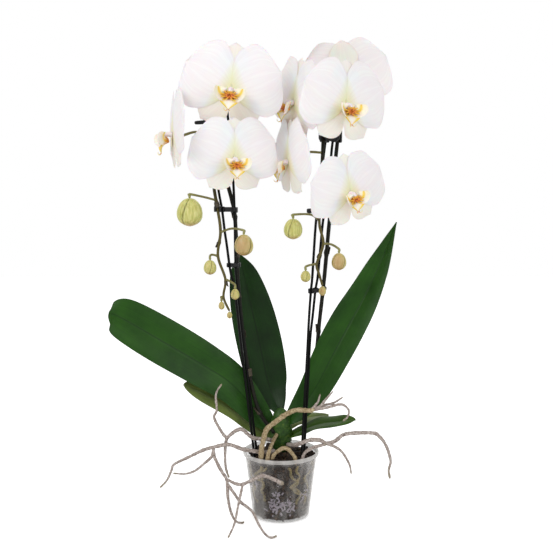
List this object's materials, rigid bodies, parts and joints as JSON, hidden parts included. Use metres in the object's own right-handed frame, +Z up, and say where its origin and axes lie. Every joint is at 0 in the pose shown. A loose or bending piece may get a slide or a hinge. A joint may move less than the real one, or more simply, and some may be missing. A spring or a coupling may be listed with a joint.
{
  "type": "potted orchid",
  "caption": "Free-standing potted moth orchid: white flowers and buds on arching spikes over wire hoops, strap leaves and trailing roots, in a clear nursery pot of bark.",
  "frame": {"origin": "centre of the pot's flat underside", "axes": "+Z up along the pot's axis; -Y the side that the flowers face; +X to the right seen from that side"},
  "size_m": [0.4438, 0.1681, 0.7459],
  "materials": {
    "clear_plastic": "satin, cloudy and translucent",
    "bark": "rough chipped bark",
    "leaf": "waxy, semi-gloss",
    "leaf_olive": "waxy, semi-gloss",
    "sepal": "soft, translucent",
    "petal": "soft, translucent",
    "lip": "waxy",
    "bud": "waxy, satin",
    "stem": "satin green stem",
    "root": "matt, papery",
    "coated_wire": "gloss plastic coating",
    "clip_plastic": "moulded, gloss"
  },
  "bodies": {
    "root": {"nursery_pot": "clear_plastic", "bark_substrate": "bark", "crown": "leaf_olive", "hoop_left": "coated_wire", "hoop_right": "coated_wire", "spike_left": "stem", "spike_right": "stem", "leaf_left_large": "leaf", "leaf_left_lower": "leaf_olive", "leaf_centre": "leaf", "leaf_right_large": "leaf", "leaf_right_lower": "leaf", "leaf_right_back": "leaf_olive", "root_front_branched": "root", "root_left_upright": "root", "root_left_cascade": "root", "root_right_long": "root", "root_bark_arch": "root", "root_bark_strand": "root", "bud_left_1": "bud", "bud_left_2": "bud", "bud_left_3": "bud", "bud_left_4": "bud", "bud_left_5": "bud", "bud_left_6": "bud", "bud_right_1": "bud", "bud_right_2": "bud", "bud_right_3": "bud", "bud_right_4": "bud", "clip_left_top": "clip_plastic", "clip_left_link": "clip_plastic", "clip_left_low": "clip_plastic", "clip_right_top": "clip_plastic", "clip_right_side": "clip_plastic", "clip_right_low": "clip_plastic", "flower_left_top_sepals": "sepal", "flower_left_top_petals": "petal", "flower_left_top_lip": "lip", "flower_left_side_sepals": "sepal", "flower_left_side_petals": "petal", "flower_left_side_lip": "lip", "flower_left_low_sepals": "sepal", "flower_left_low_petals": "petal", "flower_left_low_lip": "lip", "flower_right_top_sepals": "sepal", "flower_right_top_petals": "petal", "flower_right_top_lip": "lip", "flower_right_back_sepals": "sepal", "flower_right_back_petals": "petal", "flower_right_back_lip": "lip", "flower_right_side_sepals": "sepal", "flower_right_side_petals": "petal", "flower_right_side_lip": "lip", "flower_right_middle_sepals": "sepal", "flower_right_middle_petals": "petal", "flower_right_middle_lip": "lip", "flower_right_low_sepals": "sepal", "flower_right_low_petals": "petal", "flower_right_low_lip": "lip"}
  },
  "joints": []
}
